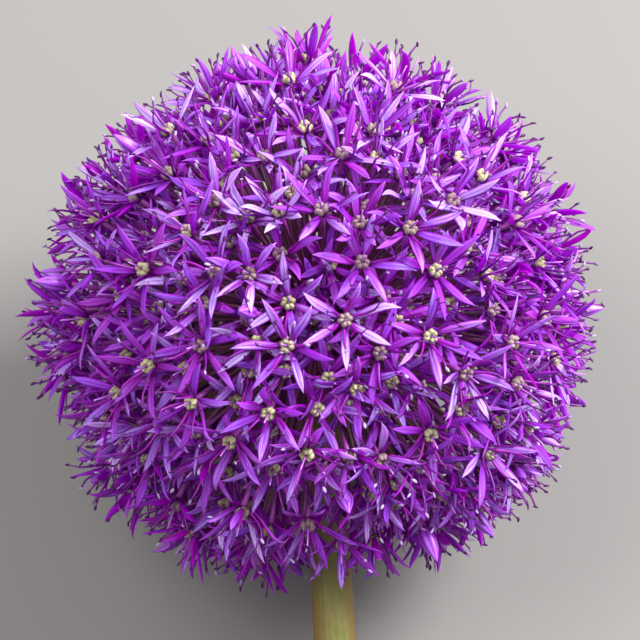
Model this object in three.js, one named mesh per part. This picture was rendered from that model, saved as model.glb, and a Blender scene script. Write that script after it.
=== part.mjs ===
// A purple allium flower head, picked with a short length of its stalk and laid on its side.
//
// The stalk ends in a round receptacle at the middle of the head. Thin pedicels spring from it in
// small clusters, the cymes, and each carries one floret: six narrow tepals spread as a star round
// a pistil and stamens. The florets stand at uneven depths, and each tepal is bent so that it lies
// clear of its neighbours, so the head is a deep open ball. A few florets are still buds.
//
// Millimetres. The flower is built upright round the receptacle's centre, with the stalk along -Z.
// The whole is then laid down, with Z up and the stalk towards -Y: it rests on the tips that its
// weight presses flat and on the stalk's cut end.
import * as THREE from "three";

const degrees = THREE.MathUtils.degToRad;

// How the flower lies
const HEAD_CENTRE = [0, 27.3, 47.6]; // the receptacle's centre; the origin is under the box's middle
const STALK_SLOPE = degrees(23.2); // brings the cut end down to the surface
const UP = new THREE.Vector3(0, -Math.cos(STALK_SLOPE), Math.sin(STALK_SLOPE)); // as built

// Stalk
const STALK_LENGTH = 112; // from the receptacle's centre to the cut
const STALK_RADIUS = 3.5;
const NECK_RADIUS = 2.9; // just under the receptacle
const RECEPTACLE_RADIUS = 6.2;
const STALK_SIDES = 16;

// Florets and how they cover the ball
const FLORETS = 256;
const CYMES = 41;
const REACH = { outer: 42, inner: 37 }; // from the centre to a floret's base
const FLATTENING = 0.03; // the ball is a little lower than it is wide
const LAST_RING = Math.cos(degrees(156)); // the floret nearest the stalk, as a height on a unit ball
const LAST_CYME = Math.cos(degrees(136));
const THINNING = { from: -0.5, least: 0.5 }; // florets stand wider apart round the stalk
const WANDER = 0.9; // how far a floret strays from its even place, to either side
const LEAN = 0.16; // how far its axis leans, as a slope
const BUD_SHARE = 0.05;
const HALF_OPEN_SHARE = 0.14;
const SEED = 19;

// One floret
const TEPALS = 6;
const TEPAL_LENGTH = 9.2;
const TEPAL_WIDTH = 2.0;
const WIDEST_AT = 0.42; // as a share of the length
const KEEL = 1.1; // a tepal's depth under its root
const OPEN = degrees(66); // a tepal's angle from the floret's axis
const HALF_OPEN = degrees(42);
const SPREAD = 0.14; // how far either strays, in radians
const CUP_RADIUS = 1; // where the tepals part
const CUP_FLAT = CUP_RADIUS * Math.cos(Math.PI / TEPALS); // the same at a tepal's middle
const PISTIL_HEIGHT = 1.4;
const STAMEN_LENGTH = 7.4;
const STAMEN_ANGLE = degrees(20);
const STAMEN_EVERY = 2; // a stamen before every second tepal
const BUD = { length: 8.4, radius: 1.7, widestAt: 0.45 };

// Pedicels and the cyme bases that they spring from
const PEDICEL_RADIUS = { root: 0.42, top: 0.65 };
const BASE = { bottom: 6.52, top: 9.6, slope: 0.235, sides: 6 }; // slope: its radius for its distance
const GATHERED = 0.5; // how much of their even spread the pedicels keep at the base
const ROOTS = { within: 0.155, apart: 0.1, pushes: 40 }; // on a base, as slopes

// Finding room among the florets that are already in place
const CLEAR = 0.36;
const HALF_THICKNESS = { pedicel: 0.6, cup: 1, tepal: 0.85, tip: 0.4, stamen: 0.25, bud: 1.6 };
const CUP = { from: -2.4, to: 0.8 }; // along a floret's axis
const NARROWS_AT = 0.62; // as a share of a tepal's length
const NEAR = 21;
const TURNS = 12;
const SINKS = [0, -1, 1, -2, 2, -3, -4, -5, -6, -7];
const BENDS = [0, 0.12, -0.12, 0.24, -0.24, -0.36, -0.48, -0.6];
const SWERVES = [0, 0.16, -0.16, 0.32, -0.32];
const MOST_MEETING = 0.35; // of two tepals that swerve towards each other
const CROWDED = 0.3; // the share of a pedicel that is close to its neighbours anyway
const LENGTHS = [1, 0.85, 0.7]; // a tepal with no room at any bend stays shorter
const STEEPEST = degrees(30); // no tepal is bent closer to the axis than this
const KEPT_CLEAR = { height: 5, half: 0.7 }; // over the foot of a floret not in place yet

const GOLDEN_ANGLE = Math.PI * (3 - Math.sqrt(5));
const TURN = 2 * Math.PI;
const POSES = LENGTHS.flatMap((length) =>
  BENDS.flatMap((bend) => SWERVES.map((swerve) => [length, bend, swerve])));

// A repeatable draw from 0 to 1.
function seeded(state) {
  return () => {
    state = (state * 1664525 + 1013904223) % 4294967296;
    return state / 4294967296;
  };
}

// How close the florets stand at a height on the unit ball, against the rest of it.
function density(height) {
  const down = (THINNING.from - height) / (THINNING.from + 1);
  return 1 - (1 - THINNING.least) * Math.max(0, down);
}

// Directions on a golden spiral, from the top of the ball down to its last ring.
function spiral(count, last) {
  const slices = 400;
  let whole = 0;
  for (let i = 0; i < slices; i++) whole += density(1 - ((1 - last) * (i + 0.5)) / slices);
  const step = ((1 - last) * whole) / slices / count;
  const directions = [];
  let height = 1 - step / 2;
  for (let i = 0; i < count; i++) {
    const ring = Math.sqrt(1 - height * height);
    const turn = i * GOLDEN_ANGLE;
    directions.push(new THREE.Vector3(ring * Math.cos(turn), ring * Math.sin(turn), height));
    height = Math.max(last, height - step / density(height));
  }
  return directions;
}

// Two unit vectors square to an axis.
function across(axis) {
  const aside = Math.abs(axis.z) < 0.9 ? new THREE.Vector3(0, 0, 1) : new THREE.Vector3(1, 0, 0);
  const u = new THREE.Vector3().crossVectors(aside, axis).normalize();
  return [u, new THREE.Vector3().crossVectors(axis, u)];
}

// A direction moved sideways by two slopes.
function leant(direction, [u, v], [a, b], slope) {
  return direction.clone().addScaledVector(u, a * slope).addScaledVector(v, b * slope).normalize();
}

// A point of a floret from its turn round the axis, its distance from the axis and its height.
function place(floret, turn, radius, height) {
  return floret.foot.clone()
    .addScaledVector(floret.u, radius * Math.cos(turn))
    .addScaledVector(floret.v, radius * Math.sin(turn))
    .addScaledVector(floret.axis, height);
}

function turnOf(floret, part) {
  return floret.spin + (part * TURN) / TEPALS;
}

// A point of a tepal, as a share of its length, from the angle at which it leans from the
// floret's axis and its swerve to one side.
function tepalPoint(floret, i, { angle, swerve, length }, share, aside = 0) {
  const root = place(floret, turnOf(floret, i), CUP_FLAT, 0);
  const turn = turnOf(floret, i) + swerve;
  const along = share * length * TEPAL_LENGTH;
  const out = along * Math.sin(angle);
  return root
    .addScaledVector(floret.u, out * Math.cos(turn) - aside * Math.sin(turn))
    .addScaledVector(floret.v, out * Math.sin(turn) + aside * Math.cos(turn))
    .addScaledVector(floret.axis, along * Math.cos(angle));
}

function stamenTip(floret, i) {
  const out = CUP_RADIUS / 2 + STAMEN_LENGTH * Math.sin(STAMEN_ANGLE);
  return place(floret, turnOf(floret, i), out, STAMEN_LENGTH * Math.cos(STAMEN_ANGLE));
}

// A stretch of a floret as a round bar, for finding room.
function strut(from, to, half) {
  const line = new THREE.Line3(from, to);
  return { line, half, middle: line.getCenter(new THREE.Vector3()), reach: line.distance() / 2 + half };
}

function tepalStruts(floret, i, bent) {
  const narrows = tepalPoint(floret, i, bent, NARROWS_AT);
  return [
    strut(tepalPoint(floret, i, bent, 0), narrows, HALF_THICKNESS.tepal),
    strut(narrows, tepalPoint(floret, i, bent, 1), HALF_THICKNESS.tip),
  ];
}

// How far struts lie clear of those in place. The count stops once it is down to the floor.
function room(struts, taken, floor) {
  let least = Infinity;
  for (const one of struts)
    for (const other of taken) {
      if (least <= floor) return least;
      if (one.middle.distanceTo(other.middle) - one.reach - other.reach > least) continue;
      const gap = Math.sqrt(one.line.distanceSqToLine3(other.line)) - one.half - other.half;
      least = Math.min(least, gap);
    }
  return least;
}

// Where a pedicel comes clear of the others that spring from its base.
function outside(root, foot) {
  return root.clone().lerp(foot, CROWDED);
}

// Whether a tepal and the next one round swerve into each other.
function meets(one, next) {
  return one.swerve - next.swerve > MOST_MEETING;
}

// A floret at a depth and a spin, each tepal bent from its angle to where it has room.
function stand(base, far, spin, taken, floor) {
  const floret = { ...base, spin, foot: base.direction.clone().multiplyScalar(far) };
  const { pedicel, cup, bud, stamen } = HALF_THICKNESS;
  floret.struts = [
    strut(outside(base.root, floret.foot), floret.foot, pedicel),
    strut(place(floret, 0, 0, CUP.from), place(floret, 0, 0, CUP.to), cup),
  ];
  if (floret.bud) {
    floret.struts.push(strut(floret.foot, place(floret, 0, 0, BUD.length), bud));
  } else {
    for (let i = 0; i < TEPALS; i += STAMEN_EVERY)
      floret.struts.push(strut(floret.foot, stamenTip(floret, i), stamen));
  }
  floret.room = room(floret.struts, taken, floor);
  floret.tepals = [];
  for (let i = 0; i < (floret.bud ? 0 : TEPALS) && floret.room > floor; i++) {
    let best = { room: floor };
    for (const [length, bend, swerve] of POSES) {
      if (best.room > CLEAR) break;
      const bent = { angle: Math.max(STEEPEST, base.angle + bend), swerve, length };
      if (i > 0 && meets(floret.tepals[i - 1], bent)) continue;
      if (i === TEPALS - 1 && meets(bent, floret.tepals[0])) continue;
      const struts = tepalStruts(floret, i, bent);
      const clear = room(struts, taken, best.room);
      if (clear > best.room) best = { struts, room: clear, bent };
    }
    floret.room = Math.min(floret.room, best.room);
    floret.struts.push(...(best.struts ?? []));
    floret.tepals.push(best.bent);
  }
  return floret;
}

// Every floret in its place, each at the first depth and spin that leave it room.
function arrange(cymeAxes) {
  const draw = seeded(SEED);
  const either = () => 2 * draw() - 1;
  const stalk = strut(new THREE.Vector3(), new THREE.Vector3(0, 0, -STALK_LENGTH), STALK_RADIUS);
  const bases = spiral(FLORETS, LAST_RING).map((even) => {
    const sides = across(even);
    const direction = leant(even, sides, [either(), either()], WANDER / REACH.outer);
    const axis = leant(direction, sides, [either(), either()], LEAN);
    const [u, v] = across(axis);
    const [depth, turn, kind] = [draw(), draw(), draw()];
    const angle = (kind < BUD_SHARE + HALF_OPEN_SHARE ? HALF_OPEN : OPEN) + either() * SPREAD;
    const cyme = nearest(cymeAxes, direction);
    const root = cymeAxes[cyme].clone().lerp(direction, GATHERED).multiplyScalar(BASE.top);
    const flat = 1 - FLATTENING * direction.z ** 2;
    const reach = (REACH.inner + (REACH.outer - REACH.inner) * Math.sqrt(depth)) * flat;
    const foot = direction.clone().multiplyScalar(reach);
    const base = { direction, axis, u, v, reach, turn, angle, cyme, root, bud: kind < BUD_SHARE };
    const height = base.bud ? BUD.length : KEPT_CLEAR.height;
    const half = base.bud ? HALF_THICKNESS.bud : KEPT_CLEAR.half;
    base.kept = [
      strut(outside(root, foot), foot, HALF_THICKNESS.pedicel),
      strut(foot, foot.clone().addScaledVector(axis, height), half),
    ];
    return base;
  });
  const florets = [];
  for (const [number, base] of bases.entries()) {
    const close = (other) => other.direction.distanceTo(base.direction) * REACH.outer < NEAR;
    const taken = florets.filter(close).flatMap((other) => other.struts);
    taken.push(stalk, ...bases.slice(number + 1).filter(close).flatMap((other) => other.kept));
    let best = { room: -Infinity };
    for (let k = 0; k < SINKS.length * TURNS && best.room < CLEAR; k++) {
      const far = Math.min(REACH.outer, base.reach + SINKS[Math.floor(k / TURNS)]);
      const spin = ((base.turn + (k % TURNS) / TURNS) * TURN) / TEPALS;
      const tried = stand(base, far, spin, taken, best.room);
      if (tried.room > best.room) best = tried;
    }
    florets.push(best);
  }
  return florets;
}

function nearest(directions, direction) {
  let found = 0;
  directions.forEach((one, i) => {
    if (one.dot(direction) > directions[found].dot(direction)) found = i;
  });
  return found;
}

// Triangles by their corner points, fanned from the first of each face. What would reach below
// the surface that the flower lies on is pressed flat on it.
class Skin {
  corners = [];
  add(...points) {
    for (let i = 2; i < points.length; i++)
      for (const point of [points[0], points[i - 1], points[i]])
        this.corners.push(...this.pressed(point));
  }
  pressed(point) {
    const height = HEAD_CENTRE[2] + point.dot(UP);
    return height < 0 ? point.clone().addScaledVector(UP, -height) : point;
  }
  geometry() {
    const positions = new THREE.Float32BufferAttribute(this.corners, 3);
    const geometry = new THREE.BufferGeometry().setAttribute("position", positions);
    geometry.computeVertexNormals();
    return geometry;
  }
}

// Three points round a floret's axis, each between two tepals' roots.
function pedicelRing(floret, radius, height) {
  return [0, 1, 2].map((j) => place(floret, turnOf(floret, 2 * j + 0.5), radius, height));
}

// The pedicel's sides from its root up to the ring at its top, which it returns.
function addPedicel(skin, floret, root, down) {
  const top = pedicelRing(floret, PEDICEL_RADIUS.top, -down);
  top.forEach((corner, j) => {
    const next = (j + 1) % top.length;
    skin.add(root[j], root[next], top[next], corner);
  });
  return top;
}

// An open floret on its pedicel. Each tepal has a keel from the pedicel's top to its tip, and
// every second part of the cup's floor is drawn out into a stamen.
function addOpenFloret(skin, floret, root) {
  const under = Math.cos(Math.PI / TEPALS) * PEDICEL_RADIUS.top;
  const down = Math.max(...floret.tepals.map(
    ({ angle }) => (KEEL + (CUP_FLAT - under) * Math.cos(angle)) / Math.sin(angle)));
  const top = addPedicel(skin, floret, root, down);
  const rim = [];
  for (let i = 0; i < TEPALS; i++) rim.push(place(floret, turnOf(floret, i - 0.5), CUP_RADIUS, 0));
  const pistil = place(floret, 0, 0, PISTIL_HEIGHT);
  for (let i = 0; i < TEPALS; i++) {
    const [from, to] = [rim[i], rim[(i + 1) % TEPALS]];
    const bent = floret.tepals[i];
    const keel = top[Math.floor(i / 2)];
    const left = tepalPoint(floret, i, bent, WIDEST_AT, -TEPAL_WIDTH / 2);
    const right = tepalPoint(floret, i, bent, WIDEST_AT, TEPAL_WIDTH / 2);
    const tip = tepalPoint(floret, i, bent, 1);
    skin.add(from, left, right, to);
    skin.add(left, tip, right);
    skin.add(left, from, keel, tip);
    skin.add(right, tip, keel, to);
    if (i % 2 === 1) skin.add(keel, top[Math.floor(i / 2 + 1) % top.length], to);
    if (i % STAMEN_EVERY === 0) {
      const anther = stamenTip(floret, i);
      skin.add(pistil, from, anther);
      skin.add(from, to, anther);
      skin.add(to, pistil, anther);
    } else {
      skin.add(pistil, from, to);
    }
  }
}

// A closed bud on its pedicel, six-ribbed and pointed.
function addBud(skin, floret, root) {
  const top = addPedicel(skin, floret, root, 0);
  const belly = [];
  for (let i = 0; i < TEPALS; i++)
    belly.push(place(floret, turnOf(floret, i - 0.5), BUD.radius, BUD.length * BUD.widestAt));
  const tip = place(floret, 0, 0, BUD.length);
  for (let i = 0; i < TEPALS; i++) {
    const [from, to] = [belly[i], belly[(i + 1) % TEPALS]];
    const under = top[Math.floor(i / 2)];
    skin.add(from, under, to);
    skin.add(from, to, tip);
    if (i % 2 === 1) skin.add(under, top[Math.floor(i / 2 + 1) % top.length], to);
  }
}

// Places brought in to fit on a base, those that come too close pushed apart again.
function parted(places) {
  const share = ROOTS.within / Math.max(...places.map((at) => at.length()));
  const roots = places.map((at) => at.clone().multiplyScalar(Math.min(share, GATHERED)));
  for (let k = 0; k < ROOTS.pushes; k++)
    for (const [i, one] of roots.entries()) {
      for (const other of roots.slice(i + 1)) {
        const apart = other.clone().sub(one);
        const push = Math.max(0, ROOTS.apart - apart.length()) / 2;
        other.add(apart.setLength(push));
        one.sub(apart);
      }
      one.clampLength(0, ROOTS.within);
    }
  return roots;
}

// One cyme in a single closed skin: a small base over the receptacle, with its pedicels drawn
// out of its flat top. Places on the base are slopes from the cyme's axis.
function cyme(axis, members) {
  const [u, v] = across(axis);
  const raise = (at, distance) =>
    axis.clone().addScaledVector(u, at.x).addScaledVector(v, at.y).multiplyScalar(distance);
  const aside = members.map(({ direction }) => {
    const out = direction.clone().divideScalar(direction.dot(axis));
    return new THREE.Vector2(out.dot(u), out.dot(v));
  });
  const middles = parted(aside);
  const roots = members.map((floret, k) => {
    return pedicelRing(floret, 1, 0).map((corner) => {
      corner.sub(floret.foot);
      const out = new THREE.Vector2(corner.dot(u), corner.dot(v));
      return out.setLength(PEDICEL_RADIUS.root / BASE.top).add(middles[k]);
    });
  });
  const rim = [];
  for (let i = 0; i < BASE.sides; i++) {
    const turn = (i * TURN) / BASE.sides;
    rim.push(new THREE.Vector2(Math.cos(turn), Math.sin(turn)).multiplyScalar(BASE.slope));
  }
  const low = rim.map((at) => raise(at, BASE.bottom));
  const high = rim.map((at) => raise(at, BASE.top));
  const raised = roots.map((root) => root.map((at) => raise(at, BASE.top)));
  const skin = new Skin();
  skin.add(...[...low].reverse());
  low.forEach((corner, i) => {
    const next = (i + 1) % low.length;
    skin.add(corner, low[next], high[next], high[i]);
  });
  const points = [...high, ...raised.flat()];
  for (const [a, b, c] of THREE.ShapeUtils.triangulateShape(rim, roots))
    skin.add(points[a], points[b], points[c]);
  members.forEach((floret, k) => {
    if (floret.bud) addBud(skin, floret, raised[k]);
    else addOpenFloret(skin, floret, raised[k]);
  });
  return skin.geometry();
}

// The stalk, cut square, with its round receptacle at the top.
function scape() {
  const joins = Math.acos(NECK_RADIUS / RECEPTACLE_RADIUS);
  const steps = 5;
  const outline = [
    new THREE.Vector2(0, -STALK_LENGTH),
    new THREE.Vector2(STALK_RADIUS, -STALK_LENGTH),
    new THREE.Vector2(STALK_RADIUS, -STALK_LENGTH / 2),
    new THREE.Vector2(NECK_RADIUS, -2 * RECEPTACLE_RADIUS),
  ];
  for (let i = 0; i < steps; i++) {
    const rise = -joins + ((Math.PI / 2 + joins) * i) / steps;
    outline.push(new THREE.Vector2(Math.cos(rise), Math.sin(rise)).multiplyScalar(RECEPTACLE_RADIUS));
  }
  outline.push(new THREE.Vector2(0, RECEPTACLE_RADIUS));
  return new THREE.LatheGeometry(outline, STALK_SIDES).rotateX(Math.PI / 2);
}

const green = new THREE.MeshStandardMaterial({ color: 0x7d8434, roughness: 0.55, metalness: 0 });
const purple = new THREE.MeshStandardMaterial({ color: 0x9a3fc4, roughness: 0.5, metalness: 0 });

const flower = new THREE.Group();
const stalk = new THREE.Mesh(scape(), green);
stalk.name = "scape";
flower.add(stalk);

const cymeAxes = spiral(CYMES, LAST_CYME);
const florets = arrange(cymeAxes);
cymeAxes.forEach((axis, number) => {
  const members = florets.filter((floret) => floret.cyme === number);
  const mesh = new THREE.Mesh(cyme(axis, members), purple);
  mesh.name = "cyme_" + String(number + 1).padStart(2, "0");
  flower.add(mesh);
});

// Laid on its side, the stalk sloping down to its cut end.
flower.rotation.x = STALK_SLOPE - Math.PI / 2;
flower.position.set(...HEAD_CENTRE);

export default flower;
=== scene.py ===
"""A purple allium flower head on a short length of its stalk, picked and laid on its side.

Everything is in metres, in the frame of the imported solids: +Z up, the stalk towards -Y. The
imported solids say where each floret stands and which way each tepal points. The pieces made here
take their place: stalk, pedicels, tepals in two whorls, filaments, anthers, ovaries, styles and
buds.
"""

import math

import bpy
import numpy as np
from mathutils import Matrix, Vector


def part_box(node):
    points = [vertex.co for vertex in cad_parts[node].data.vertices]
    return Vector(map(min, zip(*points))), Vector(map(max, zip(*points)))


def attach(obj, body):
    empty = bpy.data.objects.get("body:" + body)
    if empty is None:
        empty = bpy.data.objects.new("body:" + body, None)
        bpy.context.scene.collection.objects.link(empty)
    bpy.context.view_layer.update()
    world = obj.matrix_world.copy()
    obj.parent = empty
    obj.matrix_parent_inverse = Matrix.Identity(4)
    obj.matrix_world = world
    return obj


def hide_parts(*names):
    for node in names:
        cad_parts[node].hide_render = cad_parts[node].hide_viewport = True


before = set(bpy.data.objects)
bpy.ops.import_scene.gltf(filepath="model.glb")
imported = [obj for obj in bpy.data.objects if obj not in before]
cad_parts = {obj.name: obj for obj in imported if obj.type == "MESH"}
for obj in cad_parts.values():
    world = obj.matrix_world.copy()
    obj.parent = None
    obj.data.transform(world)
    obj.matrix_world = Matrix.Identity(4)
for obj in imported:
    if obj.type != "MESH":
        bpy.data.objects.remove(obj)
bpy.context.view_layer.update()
MM = 0.001


# ---- Where the florets stand -------------------------------------------------------------------
# Each cyme's solid holds its florets in plain form. The tip of a tepal there is a corner with
# three edges, its shoulders are corners with four and with five, and its foot is a stretch of the
# floret's six-sided rim. A bud's tip has six edges. These corners say where each piece grows.
JOIN = 0.01 * MM  # corners nearer than this are one
RECEPTACLE_RADIUS = 6.2 * MM
NEAREST_TIP = 25 * MM  # no bud's tip is closer to the head's middle
TIP_EDGES = 3
LEFT_EDGES = 4
RIGHT_EDGES = 5
TEPALS = 6

cymes = sorted(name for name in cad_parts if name.startswith("cyme_"))
_, scape_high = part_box("scape")
head_middle = np.array([0, scape_high[1] - RECEPTACLE_RADIUS, scape_high[2] - RECEPTACLE_RADIUS])


def joined(mesh):
    """A solid's corners, merged, and for each the set of corners that share an edge with it."""
    corners = np.empty(len(mesh.vertices) * 3)
    mesh.vertices.foreach_get("co", corners)
    corners = corners.reshape(-1, 3)
    _, first, index = np.unique(
        np.round(corners / JOIN), axis=0, return_index=True, return_inverse=True
    )
    near = [set() for _ in first]
    for face in mesh.polygons:
        ids = [int(i) for i in index.reshape(-1)[list(face.vertices)]]
        for a, b in zip(ids, ids[1:] + ids[:1]):
            near[a].add(b)
            near[b].add(a)
    return corners[first], near


def unit(vectors):
    """Vectors at the length of one."""
    vectors = np.asarray(vectors, float)
    return vectors / np.linalg.norm(vectors, axis=-1, keepdims=True)


def open_florets(points, near):
    """Each open floret as its tepals in order round it, each by two corners on the rim and its tip."""
    blades = {}
    for tip, ids in enumerate(near):
        left = [v for v in ids if len(near[v]) == LEFT_EDGES]
        right = [v for v in ids if len(near[v]) == RIGHT_EDGES]
        if len(ids) != TIP_EDGES or len(left) != 1 or len(right) != 1:
            continue
        left, right = left[0], right[0]
        (keel,) = ids - {left, right}
        (start,) = near[left] - {right, tip, keel}
        (end,) = near[right] - {left, tip, keel, start}
        blades[start] = (end, tip)
    while blades:
        start = next(iter(blades))
        ring = []
        while start in blades:
            end, tip = blades.pop(start)
            ring.append(points[[start, end, tip]])
            start = end
        yield np.array(ring)


BUD_LENGTH = 8.4 * MM
ROOT_SPREAD = 0.55  # of a cyme's pedicels where they spring, as a share of its florets' spread

florets, buds = [], []
for name in cymes:
    points, near = joined(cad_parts[name].data)
    grown = []
    for ring in open_florets(points, near):
        start, end, tips = ring.transpose(1, 0, 2)
        foot = start.mean(0)
        axis = unit(np.cross(start - foot, end - foot).sum(0))
        grown.append({"foot": foot, "axis": axis, "roots": (start + end) / 2, "tips": tips})
        florets.append(grown[-1])
    for tip, ids in enumerate(near):
        far = np.linalg.norm(points[tip] - head_middle) > NEAREST_TIP
        if far and len(ids) == TEPALS and all(len(near[v] & ids) == 2 for v in ids):
            axis = unit(points[tip] - points[list(ids)].mean(0))
            grown.append({"foot": points[tip] - axis * BUD_LENGTH, "axis": axis})
            buds.append(grown[-1])
    outward = unit([one["foot"] - head_middle for one in grown])
    for one, direction in zip(grown, outward):
        one["springs"] = unit(outward.mean(0) * (1 - ROOT_SPREAD) + direction * ROOT_SPREAD)


# ---- The florets deep in the head --------------------------------------------------------------
# Slightly smaller florets on shorter pedicels stand in the widest gaps between the outer ones, so
# no stretch of the head is bare. Each goes where it is farthest from all that are in place.
DEEP_FLORETS = 302
DEEP_REACH = (29.5 * MM, 40.5 * MM)  # from the head's middle
DEEP_TILT = 0.12  # scatter of the way that such a floret faces, in radians
DEEP_TEPAL = 8.6 * MM
DEEP_OPENING = (38, 66)  # degrees between a floret's axis and its tepals
OPENING_SCATTER = 7  # degrees between tepals of one floret
CUP_RADIUS = 0.87 * MM
STALK_SLOPE = math.radians(23.2)
CLEAR_OF_STALK = math.cos(math.radians(17))
CANDIDATES = 4800
GOLDEN_ANGLE = math.pi * (3 - math.sqrt(5))
SEED = 7
draw = np.random.default_rng(SEED)
to_cut = np.array([0, -math.cos(STALK_SLOPE), -math.sin(STALK_SLOPE)])


def across(axis, turn):
    """A unit vector square to an axis, at a turn round it."""
    aside = np.array([0, 0, 1]) if abs(axis[2]) < 0.9 else np.array([1, 0, 0])
    u = unit(np.cross(aside, axis))
    return u * math.cos(turn) + np.cross(axis, u) * math.sin(turn)


heights = 1 - 2 * (np.arange(CANDIDATES) + 0.5) / CANDIDATES
rounds = np.sqrt(1 - heights**2)
turns = np.arange(CANDIDATES) * GOLDEN_ANGLE
spots = np.stack([rounds * np.cos(turns), rounds * np.sin(turns), heights], 1)
spots = spots[spots @ to_cut < CLEAR_OF_STALK]
nearest = (spots @ unit([one["foot"] - head_middle for one in florets + buds]).T).max(1)
for _ in range(DEEP_FLORETS):
    direction = spots[nearest.argmin()]
    nearest = np.maximum(nearest, spots @ direction)
    axis = unit(direction + draw.normal(0, DEEP_TILT, 3))
    foot = head_middle + direction * draw.uniform(*DEEP_REACH)
    spin = draw.uniform(0, 2 * math.pi)
    radial = np.array([across(axis, spin + i * 2 * math.pi / TEPALS) for i in range(TEPALS)])
    angle = draw.uniform(*DEEP_OPENING) + draw.uniform(-OPENING_SCATTER, OPENING_SCATTER, (TEPALS, 1))
    angle = np.radians(angle)
    roots = foot + radial * CUP_RADIUS
    tips = roots + (radial * np.sin(angle) + axis * np.cos(angle)) * DEEP_TEPAL
    florets.append({"foot": foot, "axis": axis, "roots": roots, "tips": tips, "springs": direction})


# ---- The stalk and its receptacle --------------------------------------------------------------
# One smooth round stalk, grown in one piece, faintly ribbed lengthwise and cut square. It narrows
# to a neck and ends in the round receptacle that all pedicels spring from.
STALK_LENGTH = 112 * MM  # from the head's middle to the cut
STALK_RADIUS = 3.5 * MM
NECK_RADIUS = 2.9 * MM
STALK_PROFILE = (
    (0, STALK_RADIUS), (0.46, STALK_RADIUS), (0.82, NECK_RADIUS), (0.895, NECK_RADIUS),
    (0.915, 4.9 * MM), (0.948, RECEPTACLE_RADIUS), (0.98, 4.3 * MM), (1, 0.4 * MM),
)
STALK_RIBS = 22
STALK_RIB_DEPTH = 0.012  # of the radius
SHEET_INSET = 0.04  # of a cell, kept clear round each body's colours


def add(tree, kind, inputs=None, **settings):
    """A node in a tree with its settings, its inputs set to values or linked to other nodes.

    Inputs go by name or number. A Map Range takes its value at 0, the range it comes from at 1 and
    2 and the one it goes to at 3 and 4. A Mix takes its factor at 0, vectors at 4 and 5 and colours
    at 6 and 7, and gives the mixed colour at output 2.
    """
    node = tree.nodes.new(kind)
    for key, value in settings.items():
        setattr(node, key, value)
    for key, value in (inputs or {}).items():
        if isinstance(value, bpy.types.Node):
            value = next(socket for socket in value.outputs if socket.enabled)
        if isinstance(value, bpy.types.NodeSocket):
            tree.links.new(value, node.inputs[key])
        else:
            node.inputs[key].default_value = value
    return node


def colour(code):
    """A colour for a shader, linear, from its sRGB hex value."""
    parts = [int(code[i:i + 2], 16) / 255 for i in (1, 3, 5)]
    return [c / 12.92 if c <= 0.04045 else ((c + 0.055) / 1.055) ** 2.4 for c in parts] + [1]


def new_material(name, roughness):
    """A new material, its tree, and the shader in it with its roughness set."""
    material = bpy.data.materials.new(name)
    material.use_nodes = True
    shader = material.node_tree.nodes["Principled BSDF"]
    shader.inputs["Roughness"].default_value = roughness
    return material, material.node_tree, shader


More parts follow.
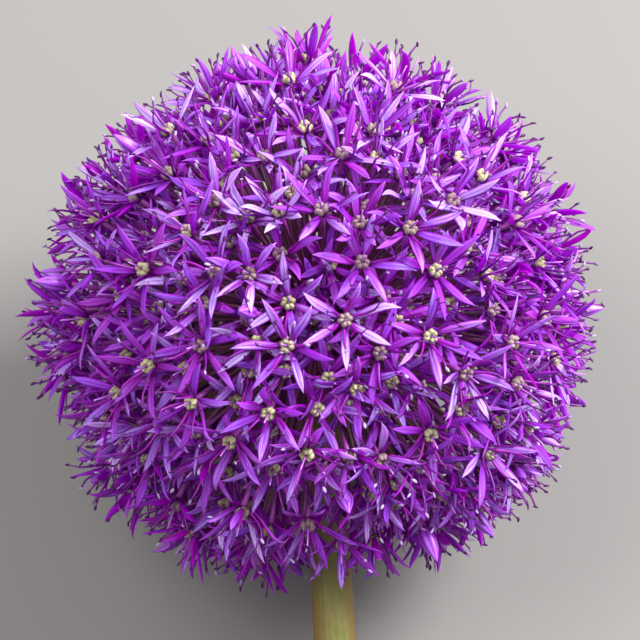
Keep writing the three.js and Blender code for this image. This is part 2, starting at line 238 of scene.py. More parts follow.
def swept_tree(name, profile):
    """A tree that grows one closed swept body on each point, along a curve of four points."""
    tree = bpy.data.node_groups.new(name, "GeometryNodeTree")
    tree.interface.new_socket("Geometry", in_out="INPUT", socket_type="NodeSocketGeometry")
    for label, kind in (("Sides", "Int"), ("Rings", "Int"), ("Ribs", "Int"), ("Rib Depth", "Float"),
                        ("Cells", "Float"), ("Material", "Material")):
        tree.interface.new_socket(label, in_out="INPUT", socket_type="NodeSocket" + kind)
    tree.interface.new_socket("Geometry", in_out="OUTPUT", socket_type="NodeSocketGeometry")
    given = tree.nodes.new("NodeGroupInput").outputs
    math_node, vector_node = "ShaderNodeMath", "ShaderNodeVectorMath"

    # The plain body is a ball: from pole to pole it says how far along, and round it which side.
    ball = add(tree, "GeometryNodeMeshUVSphere",
               {"Segments": given["Sides"], "Rings": given["Rings"], "Radius": 1})
    on_ball = add(tree, "ShaderNodeSeparateXYZ", {0: add(tree, "GeometryNodeInputPosition")}).outputs
    down = add(tree, math_node, {0: on_ball["Z"], 1: -1}, operation="MULTIPLY")
    level = add(tree, math_node, {0: down}, operation="ARCCOSINE")
    level = add(tree, math_node, {0: level, 1: math.pi}, operation="DIVIDE")
    first = add(tree, math_node, {0: 1, 1: given["Rings"]}, operation="DIVIDE")
    last = add(tree, math_node, {0: 1, 1: first}, operation="SUBTRACT")
    share = add(tree, "ShaderNodeMapRange", {"Value": level, "From Min": first, "From Max": last})
    flat = add(tree, "ShaderNodeCombineXYZ", {"X": on_ball["X"], "Y": on_ball["Y"]})
    around = add(tree, vector_node, {0: flat}, operation="NORMALIZE")
    body = ball
    for label, value, kind, domain in (("along", share, "FLOAT", "POINT"),
                                       ("around", around, "FLOAT_VECTOR", "POINT"),
                                       ("sheet", ball.outputs["UV Map"], "FLOAT_VECTOR", "CORNER")):
        body = add(tree, "GeometryNodeStoreNamedAttribute",
                   {"Geometry": body, "Name": label, "Value": value}, data_type=kind, domain=domain)
    grown = add(tree, "GeometryNodeInstanceOnPoints", {"Points": given["Geometry"], "Instance": body})
    grown = add(tree, "GeometryNodeRealizeInstances", {"Geometry": grown})

    # It is laid along the curve of each point, whose four points are mixed in pairs until one is
    # left, and its two cross directions turn with the twist.
    kept = {}
    for kind, labels in (
        ("FLOAT_VECTOR", ("a", "b", "c", "d", "side", "face", "around", "sheet", "cell")),
        ("FLOAT", ("along", "width", "thickness", "cup", "twist")),
    ):
        for label in labels:
            kept[label] = add(tree, "GeometryNodeInputNamedAttribute", {"Name": label}, data_type=kind)
    line = [kept[label] for label in "abcd"]
    while len(line) > 1:
        line = [add(tree, "ShaderNodeMix", {0: kept["along"], 4: start, 5: end}, data_type="VECTOR")
                for start, end in zip(line, line[1:])]
    axis = add(tree, vector_node, {0: kept["d"], 1: kept["a"]}, operation="SUBTRACT")
    turn = add(tree, math_node, {0: kept["twist"], 1: kept["along"]}, operation="MULTIPLY")
    side, face = (
        add(tree, "ShaderNodeVectorRotate", {"Vector": kept[label], "Axis": axis, "Angle": turn})
        for label in ("side", "face")
    )
    round_it = add(tree, "ShaderNodeSeparateXYZ", {0: kept["around"]}).outputs
    bearing = add(tree, math_node, {0: round_it["Y"], 1: round_it["X"]}, operation="ARCTAN2")
    rib = add(tree, math_node, {0: bearing, 1: given["Ribs"]}, operation="MULTIPLY")
    rib = add(tree, math_node, {0: rib}, operation="COSINE")
    rib = add(tree, math_node, {0: rib, 1: given["Rib Depth"], 2: 1}, operation="MULTIPLY_ADD")
    spread = add(tree, "ShaderNodeFloatCurve", {"Value": kept["along"]})
    curve = spread.mapping.curves[0].points
    for x, y in profile[1:-1]:
        curve.new(x, y)
    curve[0].location, curve[-1].location = profile[0], profile[-1]
    spread.mapping.update()
    swell = add(tree, math_node, {0: spread, 1: rib}, operation="MULTIPLY")
    wide = add(tree, math_node, {0: round_it["X"], 1: kept["width"]}, operation="MULTIPLY")
    wide = add(tree, math_node, {0: wide, 1: swell}, operation="MULTIPLY")
    thick = add(tree, math_node, {0: round_it["Y"], 1: kept["thickness"]}, operation="MULTIPLY")
    raised = add(tree, math_node, {0: round_it["X"], 1: 2}, operation="POWER")
    raised = add(tree, math_node, {0: raised, 1: kept["cup"]}, operation="MULTIPLY")
    raised = add(tree, math_node, {0: raised, 1: spread}, operation="MULTIPLY")
    thick = add(tree, math_node, {0: thick, 1: swell, 2: raised}, operation="MULTIPLY_ADD")
    across_it = add(tree, vector_node, {0: side, "Scale": wide}, operation="SCALE")
    through_it = add(tree, vector_node, {0: face, "Scale": thick}, operation="SCALE")
    place = add(tree, vector_node, {0: line[0], 1: across_it}, operation="ADD")
    place = add(tree, vector_node, {0: place, 1: through_it}, operation="ADD")
    place = add(tree, "ShaderNodeSeparateXYZ", {0: place}).outputs
    over_floor = add(tree, math_node, {0: place["Z"], 1: 0}, operation="MAXIMUM")
    place = add(tree, "ShaderNodeCombineXYZ", {"X": place["X"], "Y": place["Y"], "Z": over_floor})
    grown = add(tree, "GeometryNodeSetPosition", {"Geometry": grown, "Position": place})

    # Each body has a cell of its own on the sheet, the map kept for its colours.
    inner, margin = (1 - 2 * SHEET_INSET,) * 3, (SHEET_INSET,) * 3
    inset = add(tree, vector_node, {0: kept["sheet"], 1: inner, 2: margin}, operation="MULTIPLY_ADD")
    cell = add(tree, vector_node, {0: inset, 1: kept["cell"]}, operation="ADD")
    size = add(tree, math_node, {0: 1, 1: given["Cells"]}, operation="DIVIDE")
    sheet = add(tree, vector_node, {0: cell, "Scale": size}, operation="SCALE")
    grown = add(tree, "GeometryNodeStoreNamedAttribute",
                {"Geometry": grown, "Name": "OFBake", "Value": sheet},
                data_type="FLOAT2", domain="CORNER")
    grown = add(tree, "GeometryNodeSetShadeSmooth", {0: grown})
    grown = add(tree, "GeometryNodeSetMaterial", {"Geometry": grown, "Material": given["Material"]})
    tree.links.new(grown.outputs[0], tree.nodes.new("NodeGroupOutput").inputs[0])
    return tree


SHAPING = ("a", "b", "c", "d", "side", "face", "width", "thickness", "cup", "twist", "cell", "sheet")


def sweep(name, profile, material, replaced, sides, rings, fields, ribs=0, rib_depth=0):
    """Grows the bodies that the fields describe as one piece, a row of each field for each body."""
    count = len(fields["a"])
    cells = math.ceil(math.sqrt(count))
    numbers = np.arange(count)
    fields = {"cup": 0, "twist": 0, "tone": 0.5, "hue": 0.5, **fields}
    fields["cell"] = np.stack([numbers % cells, numbers // cells, numbers * 0], 1)
    mesh = bpy.data.meshes.new(name)
    mesh.vertices.add(count)
    for label, values in fields.items():
        is_vector = np.ndim(values) == 2
        values = np.broadcast_to(values, (count, 3) if is_vector else count).astype("f")
        attribute = mesh.attributes.new(label, "FLOAT_VECTOR" if is_vector else "FLOAT", "POINT")
        attribute.data.foreach_set("vector" if is_vector else "value", values.ravel())
    piece = bpy.data.objects.new(name, mesh)
    bpy.context.scene.collection.objects.link(piece)
    widest = max(y for _, y in profile)
    tree = swept_tree(name, [(x, y / widest) for x, y in profile])
    modifier = piece.modifiers.new(name, "NODES")
    modifier.node_group = tree
    sizes = {"Sides": sides, "Rings": rings, "Ribs": ribs, "Rib Depth": float(rib_depth),
             "Cells": float(cells), "Material": material}
    for item in tree.interface.items_tree:
        if item.name in sizes:
            modifier[item.identifier] = sizes[item.name]
    finished = piece.evaluated_get(bpy.context.evaluated_depsgraph_get())
    baked = bpy.data.meshes.new_from_object(finished)
    piece.modifiers.clear()
    piece.data = baked
    for label in SHAPING:
        if label in baked.attributes:
            baked.attributes.remove(baked.attributes[label])
    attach(piece, "root")
    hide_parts(*replaced)


# Waxy stalk skin: a satin olive green, streaked lengthwise and flushed brown in clouds and along
# its two sides, so that it looks smooth and firm with a soft long highlight.
OLIVE = colour("#4a4f0c")
LIGHT_OLIVE = colour("#5f5e18")
BROWN_FLUSH = colour("#684a20")
STREAK_WIDTH = 0.714 * MM
STREAK_LENGTH = 16.7 * MM
CLOUD = 7.7 * MM
stalk_skin, tree, shader = new_material("waxy_green_stalk_skin", 0.55)
place = add(tree, "ShaderNodeTexCoord").outputs["Object"]
to_streaks = (1 / STREAK_WIDTH, 1 / STREAK_LENGTH, 1 / STREAK_WIDTH)
streaky = add(tree, "ShaderNodeVectorMath", {0: place, 1: to_streaks}, operation="MULTIPLY")
streaks = add(tree, "ShaderNodeTexNoise", {"Vector": streaky, "Scale": 1, "Detail": 3})
lighter = add(tree, "ShaderNodeMapRange", {0: streaks, 1: 0.35, 2: 0.7})
skin = add(tree, "ShaderNodeMix", {0: lighter, 6: OLIVE, 7: LIGHT_OLIVE}, data_type="RGBA")
cloudy = add(tree, "ShaderNodeTexNoise", {"Vector": place, "Scale": 1 / CLOUD, "Detail": 2})
around = add(tree, "ShaderNodeAttribute", attribute_name="around").outputs["Vector"]
edge = add(tree, "ShaderNodeSeparateXYZ", {0: around}).outputs["X"]
edge = add(tree, "ShaderNodeMath", {0: edge}, operation="ABSOLUTE")
edge = add(tree, "ShaderNodeMapRange", {0: edge, 1: 0.45, 2: 0.95, 3: 0, 4: 0.65})
flush = add(tree, "ShaderNodeMapRange", {0: cloudy, 1: 0.45, 2: 0.7, 3: 0, 4: 0.3})
flush = add(tree, "ShaderNodeMath", {0: flush, 1: edge}, operation="ADD")
skin = add(tree, "ShaderNodeMix", {0: flush, 6: skin, 7: BROWN_FLUSH}, data_type="RGBA")
tree.links.new(skin.outputs[2], shader.inputs["Base Color"])
bump = add(tree, "ShaderNodeBump", {"Height": streaks, "Strength": 0.25, "Distance": 0.1 * MM})
tree.links.new(bump.outputs[0], shader.inputs["Normal"])

cut = head_middle + to_cut * STALK_LENGTH
top = head_middle - to_cut * RECEPTACLE_RADIUS
sweep("stalk", STALK_PROFILE, stalk_skin, ["scape"], sides=64, rings=96, fields={
    "a": cut[None], "b": (cut * 2 + top)[None] / 3, "c": (cut + top * 2)[None] / 3, "d": top[None],
    "side": np.array([[1, 0, 0]]), "face": -np.cross([1, 0, 0], to_cut)[None],
    "width": RECEPTACLE_RADIUS, "thickness": RECEPTACLE_RADIUS,
}, ribs=STALK_RIBS, rib_depth=STALK_RIB_DEPTH)


# ---- Pedicels ----------------------------------------------------------------------------------
# A thin olive stem under each floret and each bud, washed with purple. It leaves the receptacle
# among its cyme's others and bends gently to meet its floret square.
ROOT_DEPTH = 0.5 * MM  # under the receptacle's skin
PEDICEL_RADIUS = 0.55 * MM
PEDICEL_PROFILE = ((0, 1), (0.08, 0.8), (0.88, 0.72), (0.97, 1.1), (1, 1.25))
BEND = 0.36  # how far along the pedicel each end holds its direction

# Pedicel skin: a dull brown, nearer olive on some and nearer red on others, and wine purple under
# the floret. Where it leaves the receptacle, deep in the head, it has deep purple painted shade.
OLIVE_BROWN = colour("#5e5030")
RED_BROWN = colour("#664438")
ROOT_PAINTED_SHADE = colour("#74146a")
WINE = colour("#7c2080")
pedicel_skin, tree, shader = new_material("washed_olive_pedicel_skin", 0.5)
along = add(tree, "ShaderNodeAttribute", attribute_name="along").outputs["Fac"]
hue = add(tree, "ShaderNodeAttribute", attribute_name="hue").outputs["Fac"]
skin = add(tree, "ShaderNodeMix", {0: hue, 6: OLIVE_BROWN, 7: RED_BROWN}, data_type="RGBA")
# Painted shade: deep purple near the receptacle, deep inside the head.
darker_near_start = add(tree, "ShaderNodeMapRange", {0: along, 1: 0.2, 2: 0.8, 3: 0.85, 4: 0})
skin = add(tree, "ShaderNodeMix", {0: darker_near_start, 6: skin, 7: ROOT_PAINTED_SHADE}, data_type="RGBA")
washed = add(tree, "ShaderNodeMapRange", {0: along, 1: 0.62, 2: 0.95})
skin = add(tree, "ShaderNodeMix", {0: washed, 6: skin, 7: WINE}, data_type="RGBA")
tree.links.new(skin.outputs[2], shader.inputs["Base Color"])

borne = florets + buds
foot = np.array([one["foot"] for one in borne])
axis = np.array([one["axis"] for one in borne])
springs = np.array([one["springs"] for one in borne])
root = head_middle + springs * (RECEPTACLE_RADIUS - ROOT_DEPTH)
span = np.linalg.norm(foot - root, axis=1, keepdims=True)
side = np.array([across(one, 0) for one in springs])
sweep("pedicels", PEDICEL_PROFILE, pedicel_skin, cymes, sides=6, rings=10, fields={
    "a": root, "b": root + springs * span * BEND, "c": foot - axis * span * BEND, "d": foot,
    "side": side, "face": np.cross(springs, side),
    "width": PEDICEL_RADIUS, "thickness": PEDICEL_RADIUS, "hue": draw.uniform(0, 1, len(borne)),
})


# ---- Tepals ------------------------------------------------------------------------------------
# Six narrow pointed tepals to a floret, in an outer and an inner whorl that are joined at its foot.
# Each is a thin soft blade, slightly gutter-shaped, with a dark midrib and a deep purple root.
TEPAL_SHARE = 0.97  # of the length of the solids' blunter tepals
TEPAL_LENGTH = 8.9 * MM  # of most, to scale the streaks by
TEPAL_HALF_WIDTH = 0.76 * MM
TEPAL_HALF_THICKNESS = 0.14 * MM
TEPAL_PROFILE = (
    (0, 0.5), (0.14, 0.65), (0.35, 0.9), (0.56, 1), (0.72, 0.86), (0.86, 0.52), (0.95, 0.22), (1, 0.03),
)
TEPAL_START = 0.45  # of the way from the floret's middle to its rim
TEPAL_BENDS = (0.36, 0.7)  # where along it a tepal's curve is drawn aside
LENGTH_RANGE = (0.93, 1.05)
WIDTH_RANGE = (0.86, 1.08)
BOW = 0.45 * MM  # of a tepal's arch, and its scatter
SWERVE = 0.65 * MM  # scatter of how far a tepal bends sideways
CUP_DEPTH = 0.5 * MM  # of the gutter, at most
TWIST = 0.5  # scatter, in radians from root to tip

# Silky tepal skin: thin tissue of shiny long cells. It lets some light through and has a soft
# lengthwise lustre. Its outer end is pale lavender, and more so on some florets. Its upper face
# is paler with a painted highlight, its underside darker with painted shade, and its palest spots
# take a near-white painted highlight.
VIOLET = colour("#9a04c2")
MAGENTA = colour("#b603b8")
LAVENDER = colour("#966cf0")
LILAC = colour("#ae78ea")
PAINTED_HIGHLIGHT = colour("#e2cafd")
RIM = colour("#9a06b4")
VEIN = colour("#7e02a0")
THROAT = colour("#84028a")
LUSTRE = colour("#d89cf4")
LIGHT_THROUGH = colour("#e41cec")
CELL_STREAK_WIDTH = 0.113 * MM  # as wide as a few cells
CELL_STREAK_LENGTH = 4.64 * MM
STREAK_SETS = 144  # so that each tepal has streaks of its own
STREAK_PALENESS = 0.34
ALONG_PALENESS = (-0.22, 0.18)  # near the root and further out
FACE_PAINTED_LIGHT = (-0.24, 0.3)  # painted shade on the underside and painted highlight on the upper face
LIGHT_SHARE = 0.56  # of the light goes through the blade
tepal_skin, tree, shader = new_material("silky_purple_tepal_skin", 0.42)
along, tone, hue = (
    add(tree, "ShaderNodeAttribute", attribute_name=label).outputs["Fac"]
    for label in ("along", "tone", "hue")
)
around = add(tree, "ShaderNodeAttribute", attribute_name="around").outputs["Vector"]
around = add(tree, "ShaderNodeSeparateXYZ", {0: around}).outputs
middle = add(tree, "ShaderNodeMath", {0: around["X"]}, operation="ABSOLUTE")
grain = add(tree, "ShaderNodeCombineXYZ", {"X": around["X"], "Y": along, "Z": hue})
to_streaks = (TEPAL_HALF_WIDTH / CELL_STREAK_WIDTH, TEPAL_LENGTH / CELL_STREAK_LENGTH, STREAK_SETS)
grain = add(tree, "ShaderNodeVectorMath", {0: grain, 1: to_streaks}, operation="MULTIPLY")
streaks = add(tree, "ShaderNodeTexNoise", {"Vector": grain, "Scale": 1, "Detail": 2})

deep = add(tree, "ShaderNodeMix", {0: hue, 6: VIOLET, 7: MAGENTA}, data_type="RGBA")
pale = add(tree, "ShaderNodeMix", {0: hue, 6: LAVENDER, 7: LILAC}, data_type="RGBA")
streaked = add(tree, "ShaderNodeMapRange",
               {0: streaks, 1: 0.3, 2: 0.7, 3: -STREAK_PALENESS, 4: STREAK_PALENESS})
outward = add(tree, "ShaderNodeMapRange",
              {0: along, 1: 0.12, 2: 0.7, 3: ALONG_PALENESS[0], 4: ALONG_PALENESS[1]})
lift = add(tree, "ShaderNodeMath", {0: streaked, 1: outward}, operation="ADD")
lift = add(tree, "ShaderNodeMath", {0: lift, 1: tone}, operation="ADD")
# Painted light: the upper face is paler as a painted highlight, the underside darker as painted shade.
painted_face_light = add(tree, "ShaderNodeMapRange",
            {0: around["Y"], 1: -0.3, 2: 0.6, 3: FACE_PAINTED_LIGHT[0], 4: FACE_PAINTED_LIGHT[1]})
lift = add(tree, "ShaderNodeMath", {0: lift, 1: painted_face_light}, operation="ADD")
body = add(tree, "ShaderNodeMapRange", {0: lift, 1: 0, 2: 1})
skin = add(tree, "ShaderNodeMix", {0: body, 6: deep, 7: pale}, data_type="RGBA")
# Painted highlight: the palest parts of a tepal turn near-white lavender.
painted_highlight = add(tree, "ShaderNodeMapRange", {0: lift, 1: 0.72, 2: 1.2})
skin = add(tree, "ShaderNodeMix", {0: painted_highlight, 6: skin, 7: PAINTED_HIGHLIGHT}, data_type="RGBA")
rim = add(tree, "ShaderNodeMapRange", {0: middle, 1: 0.62, 2: 1, 3: 0, 4: 0.5})
skin = add(tree, "ShaderNodeMix", {0: rim, 6: skin, 7: RIM}, data_type="RGBA")
vein = add(tree, "ShaderNodeMapRange", {0: middle, 1: 0.02, 2: 0.2, 3: 0.6, 4: 0})
skin = add(tree, "ShaderNodeMix", {0: vein, 6: skin, 7: VEIN}, data_type="RGBA")
throat = add(tree, "ShaderNodeMapRange", {0: along, 1: 0.03, 2: 0.27, 3: 1, 4: 0})
skin = add(tree, "ShaderNodeMix", {0: throat, 6: skin, 7: THROAT}, data_type="RGBA")
tree.links.new(skin.outputs[2], shader.inputs["Base Color"])
bump = add(tree, "ShaderNodeBump", {"Height": streaks, "Strength": 0.35, "Distance": 0.12 * MM})
tree.links.new(bump.outputs[0], shader.inputs["Normal"])
shader.inputs["Specular IOR Level"].default_value = 0.35
shader.inputs["Specular Tint"].default_value = LUSTRE
glow = add(tree, "ShaderNodeMix", {0: 0.55, 6: skin, 7: LIGHT_THROUGH}, data_type="RGBA")
through = add(tree, "ShaderNodeBsdfTranslucent", {"Color": glow})
both = add(tree, "ShaderNodeMixShader", {0: LIGHT_SHARE, 1: shader, 2: through})
tree.links.new(both.outputs[0], tree.nodes["Material Output"].inputs["Surface"])

# Florets deeper in the head are darker, as painted shade, and each floret and each tepal differs a
# little.
PAINTED_SHADE_ENDS_AT = 42 * MM  # from the head's middle
PAINTED_SHADE_FULL_AT = 31 * MM
DEPTH_PAINTED_SHADE = 0.4
FLORET_PALENESS = (0.02, 0.28)  # mean and scatter from floret to floret
TEPAL_PALENESS = 0.17  # scatter from tepal to tepal
floret_tone = draw.normal(*FLORET_PALENESS, len(florets))
for whorl, name in ((0, "outer_tepals"), (1, "inner_tepals")):
    root = np.concatenate([one["roots"][whorl::2] for one in florets])
    tip = np.concatenate([one["tips"][whorl::2] for one in florets])
    foot = np.repeat([one["foot"] for one in florets], TEPALS // 2, 0)
    axis = np.repeat([one["axis"] for one in florets], TEPALS // 2, 0)
    count = len(root)
    reach = (tip - root) * TEPAL_SHARE * draw.uniform(*LENGTH_RANGE, (count, 1))
    side = unit(np.cross(axis, root - foot))
    face = unit(np.cross(reach, side))
    side = unit(np.cross(face, reach))
    start = foot + (root - foot) * TEPAL_START
    bow = draw.normal(BOW, BOW, (count, 1))
    aside = draw.normal(0, SWERVE, (count, 1))
    width = TEPAL_HALF_WIDTH * draw.uniform(*WIDTH_RANGE, count)
    cup = draw.uniform(0, CUP_DEPTH, count)
    twist = draw.normal(0, TWIST, count)
    # Painted shade: the deeper a floret stands in the head, the darker its tepals.
    out_of_depth_shade = (np.linalg.norm(foot - head_middle, axis=1) - PAINTED_SHADE_FULL_AT) / (PAINTED_SHADE_ENDS_AT - PAINTED_SHADE_FULL_AT)
    tone = out_of_depth_shade * DEPTH_PAINTED_SHADE + np.repeat(floret_tone, TEPALS // 2)
    tone += draw.normal(0, TEPAL_PALENESS, count)
    sweep(name, TEPAL_PROFILE, tepal_skin, cymes, sides=6, rings=9, fields={
        "a": start, "b": start + reach * TEPAL_BENDS[0] - face * bow,
        "c": start + reach * TEPAL_BENDS[1] + face * bow + side * aside, "d": start + reach,
        "side": side, "face": face, "width": width, "thickness": TEPAL_HALF_THICKNESS,
        "cup": cup, "twist": twist, "tone": np.clip(tone, 0, 1), "hue": draw.uniform(0, 1, count),
    })


# ---- Filaments and anthers ---------------------------------------------------------------------
# A stiff needle stands before each tepal, broad at its root and drawn out to a hair that carries
# a small two-lobed anther, hinged at its middle.
FILAMENT_RADIUS = 0.42 * MM
FILAMENT_PROFILE = ((0, 1), (0.12, 0.88), (0.3, 0.66), (0.7, 0.5), (1, 0.34))
FILAMENT_LENGTH = (6.2 * MM, 7.6 * MM)
FILAMENT_ROOT = 0.5  # of the way from the floret's middle to its rim
FILAMENT_LEAN = (22, 48)  # degrees from the floret's axis
FILAMENT_STRAY = 0.07  # scatter of its direction, in radians
FILAMENT_FLATNESS = 0.7  # its thickness against its width
FLARE = 0.25  # how much more than the whole its stiff part leans out
STIFF_PART = 0.35  # of a filament from its root
HOOKED_PART = 0.42  # of a filament from its tip
HOOK_INWARD = (0.2, 0.4)  # mean and scatter, as a share of the filament's own direction
HOOK_ASIDE = 0.5  # scatter
ANTHER_OUTWARD = (0.3, 0.5)  # mean and scatter, as a share of the filament's own direction
ANTHER_ASIDE = 0.4  # scatter
ANTHER_LENGTH = 1.05 * MM
ANTHER_HALF_WIDTH = 0.24 * MM
ANTHER_HALF_THICKNESS = 0.2 * MM
ANTHER_PROFILE = ((0, 0.35), (0.15, 0.85), (0.5, 0.95), (0.85, 0.85), (1, 0.35))
ANTHER_LOBES = 2
ANTHER_GROOVE = 0.12  # of its radius
NEVER_PARALLEL = 0.01  # keeps an anther's sides defined where it lies along its filament

# Filament skin: smooth and slightly glossy, a dark magenta purple that darkens to the tip.
DARK_VIOLET = colour("#60067c")
DARK_MAGENTA = colour("#7a0480")
FILAMENT_TIP = colour("#440a50")
filament_skin, tree, shader = new_material("glossy_magenta_filament_skin", 0.45)
along, hue = (
    add(tree, "ShaderNodeAttribute", attribute_name=label).outputs["Fac"] for label in ("along", "hue")
)
skin = add(tree, "ShaderNodeMix", {0: hue, 6: DARK_VIOLET, 7: DARK_MAGENTA}, data_type="RGBA")
dark = add(tree, "ShaderNodeMapRange", {0: along, 1: 0.5, 2: 1, 3: 0, 4: 0.65})
skin = add(tree, "ShaderNodeMix", {0: dark, 6: skin, 7: FILAMENT_TIP}, data_type="RGBA")
tree.links.new(skin.outputs[2], shader.inputs["Base Color"])
shader.inputs["Specular IOR Level"].default_value = 0.3

# Anther skin: a dull mealy dark purple, and a pale lilac grey where an anther has opened.
DUSKY_PURPLE = colour("#2e0c3c")
DUSTY_PURPLE = colour("#50205c")
OPENED_GREY = colour("#8e7aa0")
MEAL = 0.2 * MM  # a grain of it, drawn coarser than it is so that it shows
anther_skin, tree, shader = new_material("dull_violet_anther_skin", 0.75)
hue = add(tree, "ShaderNodeAttribute", attribute_name="hue").outputs["Fac"]
opened = add(tree, "ShaderNodeMapRange", {0: hue, 1: 0.74, 2: 0.88})
place = add(tree, "ShaderNodeTexCoord").outputs["Object"]
mealy = add(tree, "ShaderNodeTexNoise", {"Vector": place, "Scale": 1 / MEAL, "Detail": 1})
skin = add(tree, "ShaderNodeMix", {0: mealy, 6: DUSKY_PURPLE, 7: DUSTY_PURPLE}, data_type="RGBA")
skin = add(tree, "ShaderNodeMix", {0: opened, 6: skin, 7: OPENED_GREY}, data_type="RGBA")
tree.links.new(skin.outputs[2], shader.inputs["Base Color"])
shader.inputs["Specular IOR Level"].default_value = 0.25

root, foot, axis = (
    np.concatenate([np.broadcast_to(one[label], (TEPALS, 3)) for one in florets])
    for label in ("roots", "foot", "axis")
)
count = len(root)
radial = root - foot
radial = unit(radial - (radial * axis).sum(1, keepdims=True) * axis)
lean = np.radians(draw.uniform(*FILAMENT_LEAN, (count, 1)))
length = draw.uniform(*FILAMENT_LENGTH, (count, 1))
stray = draw.normal(0, FILAMENT_STRAY, (count, 3))
along_it = unit(radial * np.sin(lean) + axis * np.cos(lean) + stray)
start = foot + (root - foot) * FILAMENT_ROOT
end = start + along_it * length
side = unit(np.cross(axis, radial))
hook = along_it - radial * draw.normal(*HOOK_INWARD, (count, 1))
hook = unit(hook + side * draw.normal(0, HOOK_ASIDE, (count, 1)))
sweep("filaments", FILAMENT_PROFILE, filament_skin, cymes, sides=5, rings=6, fields={
    "a": start, "b": start + unit(along_it + radial * FLARE) * length * STIFF_PART,
    "c": end - hook * length * HOOKED_PART, "d": end,
    "side": side, "face": np.cross(along_it, side),
    "width": FILAMENT_RADIUS, "thickness": FILAMENT_RADIUS * FILAMENT_FLATNESS,
    "hue": draw.uniform(0, 1, count),
})

swing = along_it + radial * draw.normal(*ANTHER_OUTWARD, (count, 1))
swing = unit(swing + side * draw.normal(0, ANTHER_ASIDE, (count, 1)))
half = swing * ANTHER_LENGTH / 2
side = unit(np.cross(swing, along_it + NEVER_PARALLEL))
sweep("anthers", ANTHER_PROFILE, anther_skin, cymes, sides=6, rings=5, fields={
    "a": end - half, "b": end - half / 3, "c": end + half / 3, "d": end + half,
    "side": side, "face": np.cross(swing, side),
    "width": ANTHER_HALF_WIDTH, "thickness": ANTHER_HALF_THICKNESS, "hue": draw.uniform(0, 1, count),
}, ribs=ANTHER_LOBES, rib_depth=ANTHER_GROOVE)


# ---- Ovaries and styles ------------------------------------------------------------------------
# The ovary sits in the middle of the floret. Its three chambers show as three pairs of round
# knobs, and a thin style stands up between them.
KNOB_LENGTH = 1.9 * MM
KNOB_RADIUS = 0.55 * MM
KNOB_PROFILE = ((0, 0.5), (0.3, 0.95), (0.65, 1), (0.88, 0.72), (1, 0.2))
KNOB_OFFSET = 0.53 * MM  # from the floret's axis
KNOB_BREADTH = 1.15  # its width against its depth
KNOB_SPLAY = 0.12  # outward lean, in radians
PAIRS = 3
HALF_PAIR = math.radians(24)
STYLE_LENGTH = 5.2 * MM
STYLE_RADIUS = 0.2 * MM
STYLE_PROFILE = ((0, 1), (0.5, 0.8), (1, 0.6))
STYLE_STRAY = 0.06  # scatter of its direction, in radians

# Ovary skin: dull, waxy and finely warted, a tan green that ages to mauve grey, with a purple
# stain at the foot.
TAN_GREEN = colour("#9e9a72")
MAUVE_GREY = colour("#7e626c")
BETWEEN_WARTS = colour("#6a5a58")
PURPLE_FOOT = colour("#6a2a62")
WART = 0.294 * MM  # from one to the next
ovary_skin, tree, shader = new_material("waxy_green_ovary_skin", 0.55)
along, hue = (
    add(tree, "ShaderNodeAttribute", attribute_name=label).outputs["Fac"] for label in ("along", "hue")
)
aged = add(tree, "ShaderNodeMapRange", {0: hue, 1: 0.25, 2: 0.75})
skin = add(tree, "ShaderNodeMix", {0: aged, 6: TAN_GREEN, 7: MAUVE_GREY}, data_type="RGBA")
place = add(tree, "ShaderNodeTexCoord").outputs["Object"]
warts = add(tree, "ShaderNodeTexVoronoi", {"Vector": place, "Scale": 1 / WART})
speck = add(tree, "ShaderNodeMapRange", {0: warts, 1: 0.1, 2: 0.8, 3: 0, 4: 0.4})
skin = add(tree, "ShaderNodeMix", {0: speck, 6: skin, 7: BETWEEN_WARTS}, data_type="RGBA")
darker_near_start = add(tree, "ShaderNodeMapRange", {0: along, 1: 0.1, 2: 0.45, 3: 0.8, 4: 0})
skin = add(tree, "ShaderNodeMix", {0: darker_near_start, 6: skin, 7: PURPLE_FOOT}, data_type="RGBA")
tree.links.new(skin.outputs[2], shader.inputs["Base Color"])
bump = add(tree, "ShaderNodeBump", {"Height": warts, "Strength": 0.5, "Distance": -0.15 * MM})
tree.links.new(bump.outputs[0], shader.inputs["Normal"])

foot, axis = (np.array([one[label] for one in florets]) for label in ("foot", "axis"))
count = len(foot)
spin = draw.uniform(0, 2 * math.pi, count)
age = draw.uniform(0, 1, count)
bottom, bearing = [], []
for pair in range(PAIRS):
    for half in (-HALF_PAIR, HALF_PAIR):
        turn = spin + pair * 2 * math.pi / PAIRS + half
        bearing.append(np.array([across(a, t) for a, t in zip(axis, turn)]))
        bottom.append(foot + bearing[-1] * KNOB_OFFSET)
bottom, radial = np.concatenate(bottom), np.concatenate(bearing)
upright = np.concatenate([axis] * 2 * PAIRS)
rise = (upright + radial * KNOB_SPLAY) * KNOB_LENGTH
sweep("ovaries", KNOB_PROFILE, ovary_skin, cymes, sides=6, rings=5, fields={
    "a": bottom, "b": bottom + rise / 3, "c": bottom + rise * 2 / 3, "d": bottom + rise,
    "side": radial, "face": np.cross(upright, radial),
    "width": KNOB_RADIUS * KNOB_BREADTH, "thickness": KNOB_RADIUS,
    "hue": np.concatenate([age] * 2 * PAIRS),
})

# Style skin: smooth, a mid purple that pales to its tip.
STYLE_FOOT = colour("#7a2488")
STYLE_TIP = colour("#9c60b8")
style_skin, tree, shader = new_material("smooth_purple_style_skin", 0.45)
along = add(tree, "ShaderNodeAttribute", attribute_name="along").outputs["Fac"]
skin = add(tree, "ShaderNodeMix", {0: along, 6: STYLE_FOOT, 7: STYLE_TIP}, data_type="RGBA")
tree.links.new(skin.outputs[2], shader.inputs["Base Color"])

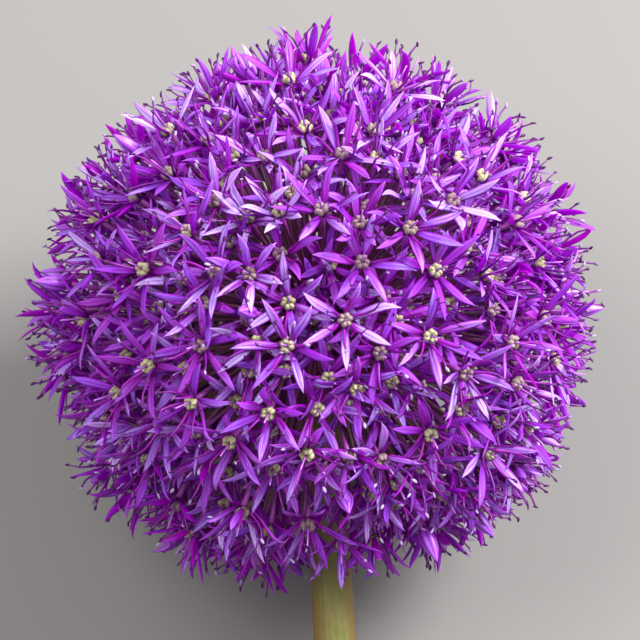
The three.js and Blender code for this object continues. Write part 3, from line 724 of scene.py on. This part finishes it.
top = foot + (axis + draw.normal(0, STYLE_STRAY, (count, 3))) * STYLE_LENGTH
side = np.array([across(one, 0) for one in axis])
sweep("styles", STYLE_PROFILE, style_skin, cymes, sides=5, rings=5, fields={
    "a": foot, "b": (foot * 2 + top) / 3, "c": (foot + top * 2) / 3, "d": top,
    "side": side, "face": np.cross(axis, side), "width": STYLE_RADIUS, "thickness": STYLE_RADIUS,
})


# ---- Buds --------------------------------------------------------------------------------------
# The last florets are still shut, each with its six tepals wrapped into a pointed spindle, with a
# fold between each two, on a pedicel like the others'.
BUD_SHARE = 0.74  # of the length of the solids' buds
BUD_RADIUS = 1.22 * MM
BUD_PROFILE = ((0, 0.45), (0.08, 0.72), (0.34, 1), (0.58, 0.9), (0.82, 0.48), (0.95, 0.17), (1, 0.05))
FOLD_DEPTH = 0.07  # of the bud's radius

# Bud skin: the backs of the tepals, satin purple with a dark seam between each two.
BUD_FOOT = colour("#8408a4")
BUD_TIP = colour("#9c50d8")
SEAM = colour("#45045c")
bud_skin, tree, shader = new_material("satin_purple_bud_skin", 0.4)
along = add(tree, "ShaderNodeAttribute", attribute_name="along").outputs["Fac"]
around = add(tree, "ShaderNodeAttribute", attribute_name="around").outputs["Vector"]
around = add(tree, "ShaderNodeSeparateXYZ", {0: around}).outputs
bearing = add(tree, "ShaderNodeMath", {0: around["Y"], 1: around["X"]}, operation="ARCTAN2")
seams = add(tree, "ShaderNodeMath", {0: bearing, 1: TEPALS}, operation="MULTIPLY")
seams = add(tree, "ShaderNodeMath", {0: seams}, operation="COSINE")
paler = add(tree, "ShaderNodeMapRange", {0: along, 1: 0.05, 2: 0.9})
skin = add(tree, "ShaderNodeMix", {0: paler, 6: BUD_FOOT, 7: BUD_TIP}, data_type="RGBA")
fold = add(tree, "ShaderNodeMapRange", {0: seams, 1: -0.9, 2: 0.1, 3: 0.7, 4: 0})
skin = add(tree, "ShaderNodeMix", {0: fold, 6: skin, 7: SEAM}, data_type="RGBA")
tree.links.new(skin.outputs[2], shader.inputs["Base Color"])

foot, axis = (np.array([one[label] for one in buds]) for label in ("foot", "axis"))
side = np.array([across(one, 0) for one in axis])
top = foot + axis * BUD_LENGTH * BUD_SHARE
sweep("buds", BUD_PROFILE, bud_skin, cymes, sides=24, rings=16, fields={
    "a": foot, "b": (foot * 2 + top) / 3, "c": (foot + top * 2) / 3, "d": top,
    "side": side, "face": np.cross(axis, side), "width": BUD_RADIUS, "thickness": BUD_RADIUS,
}, ribs=TEPALS, rib_depth=FOLD_DEPTH)


# ---- Light, floor and camera -------------------------------------------------------------------
# A plain pale floor under the flower, a soft light high on the right and a fainter one overhead
# on the left, and a long lens that looks down on the flower, nearly square to its stalk.
FLOOR_HALF = 1500 * MM
FLOOR_LEVEL = -0.1 * MM
floor_mesh = bpy.data.meshes.new("floor")
quarters = ((-1, -1), (1, -1), (1, 1), (-1, 1))
corners = [(x * FLOOR_HALF, y * FLOOR_HALF, FLOOR_LEVEL) for x, y in quarters]
floor_mesh.from_pydata(corners, [], [(0, 1, 2, 3)])
floor = bpy.data.objects.new("floor", floor_mesh)
bpy.context.scene.collection.objects.link(floor)
floor_finish, _, shader = new_material("plain_pale_floor", 0.8)
shader.inputs["Base Color"].default_value = colour("#676563")
floor_mesh.materials.append(floor_finish)

world = bpy.data.worlds.new("soft_sky")
bpy.context.scene.world = world
world.use_nodes = True
sky = world.node_tree.nodes["Background"]
sky.inputs["Color"].default_value = colour("#f0ecf2")
sky.inputs["Strength"].default_value = 0.95


def facing(place, target):
    """Where a light or a camera at a place stands and turns to look at a target."""
    turned = (Vector(target) - Vector(place)).to_track_quat("-Z", "Y").to_matrix().to_4x4()
    return Matrix.Translation(place) @ turned


# Each light's place and breadth in metres, and its power in watts.
for name, place, size, power in (
    ("key", (0.6, 0.26, 0.68), 0.4, 29),
    ("fill", (-0.35, 0.05, 0.85), 0.5, 8),
):
    lamp = bpy.data.lights.new(name, "AREA")
    lamp.size = size
    lamp.energy = power
    lamp_object = bpy.data.objects.new(name, lamp)
    lamp_object.matrix_world = facing(place, head_middle)
    bpy.context.scene.collection.objects.link(lamp_object)

VIEW_ELEVATION = math.radians(65)
VIEW_ROLL = math.radians(3.2)
VIEW_DISTANCE = 800 * MM
VIEW_WIDTH = 105 * MM  # across the picture, at the head's middle
VIEW_OFFSET = (0.5 * MM, -0.2 * MM)  # of the picture's middle from the head's
SENSOR = 36  # the camera's, in millimetres
NEAREST_SEEN = 10 * MM
toward = np.array([0, -math.cos(VIEW_ELEVATION), math.sin(VIEW_ELEVATION)])
upward = np.array([0, math.sin(VIEW_ELEVATION), math.cos(VIEW_ELEVATION)])
aim = head_middle + np.array([VIEW_OFFSET[0], 0, 0]) + upward * VIEW_OFFSET[1]
lens = bpy.data.cameras.new("camera")
lens.sensor_width = SENSOR
lens.lens = SENSOR * VIEW_DISTANCE / VIEW_WIDTH
lens.clip_start = NEAREST_SEEN
camera = bpy.data.objects.new("camera", lens)
camera.matrix_world = facing(aim + toward * VIEW_DISTANCE, aim) @ Matrix.Rotation(-VIEW_ROLL, 4, "Z")
bpy.context.scene.collection.objects.link(camera)
bpy.context.scene.camera = camera
# The plain transform keeps the purples as saturated as they are on the flower.
bpy.context.scene.view_settings.view_transform = "Standard"
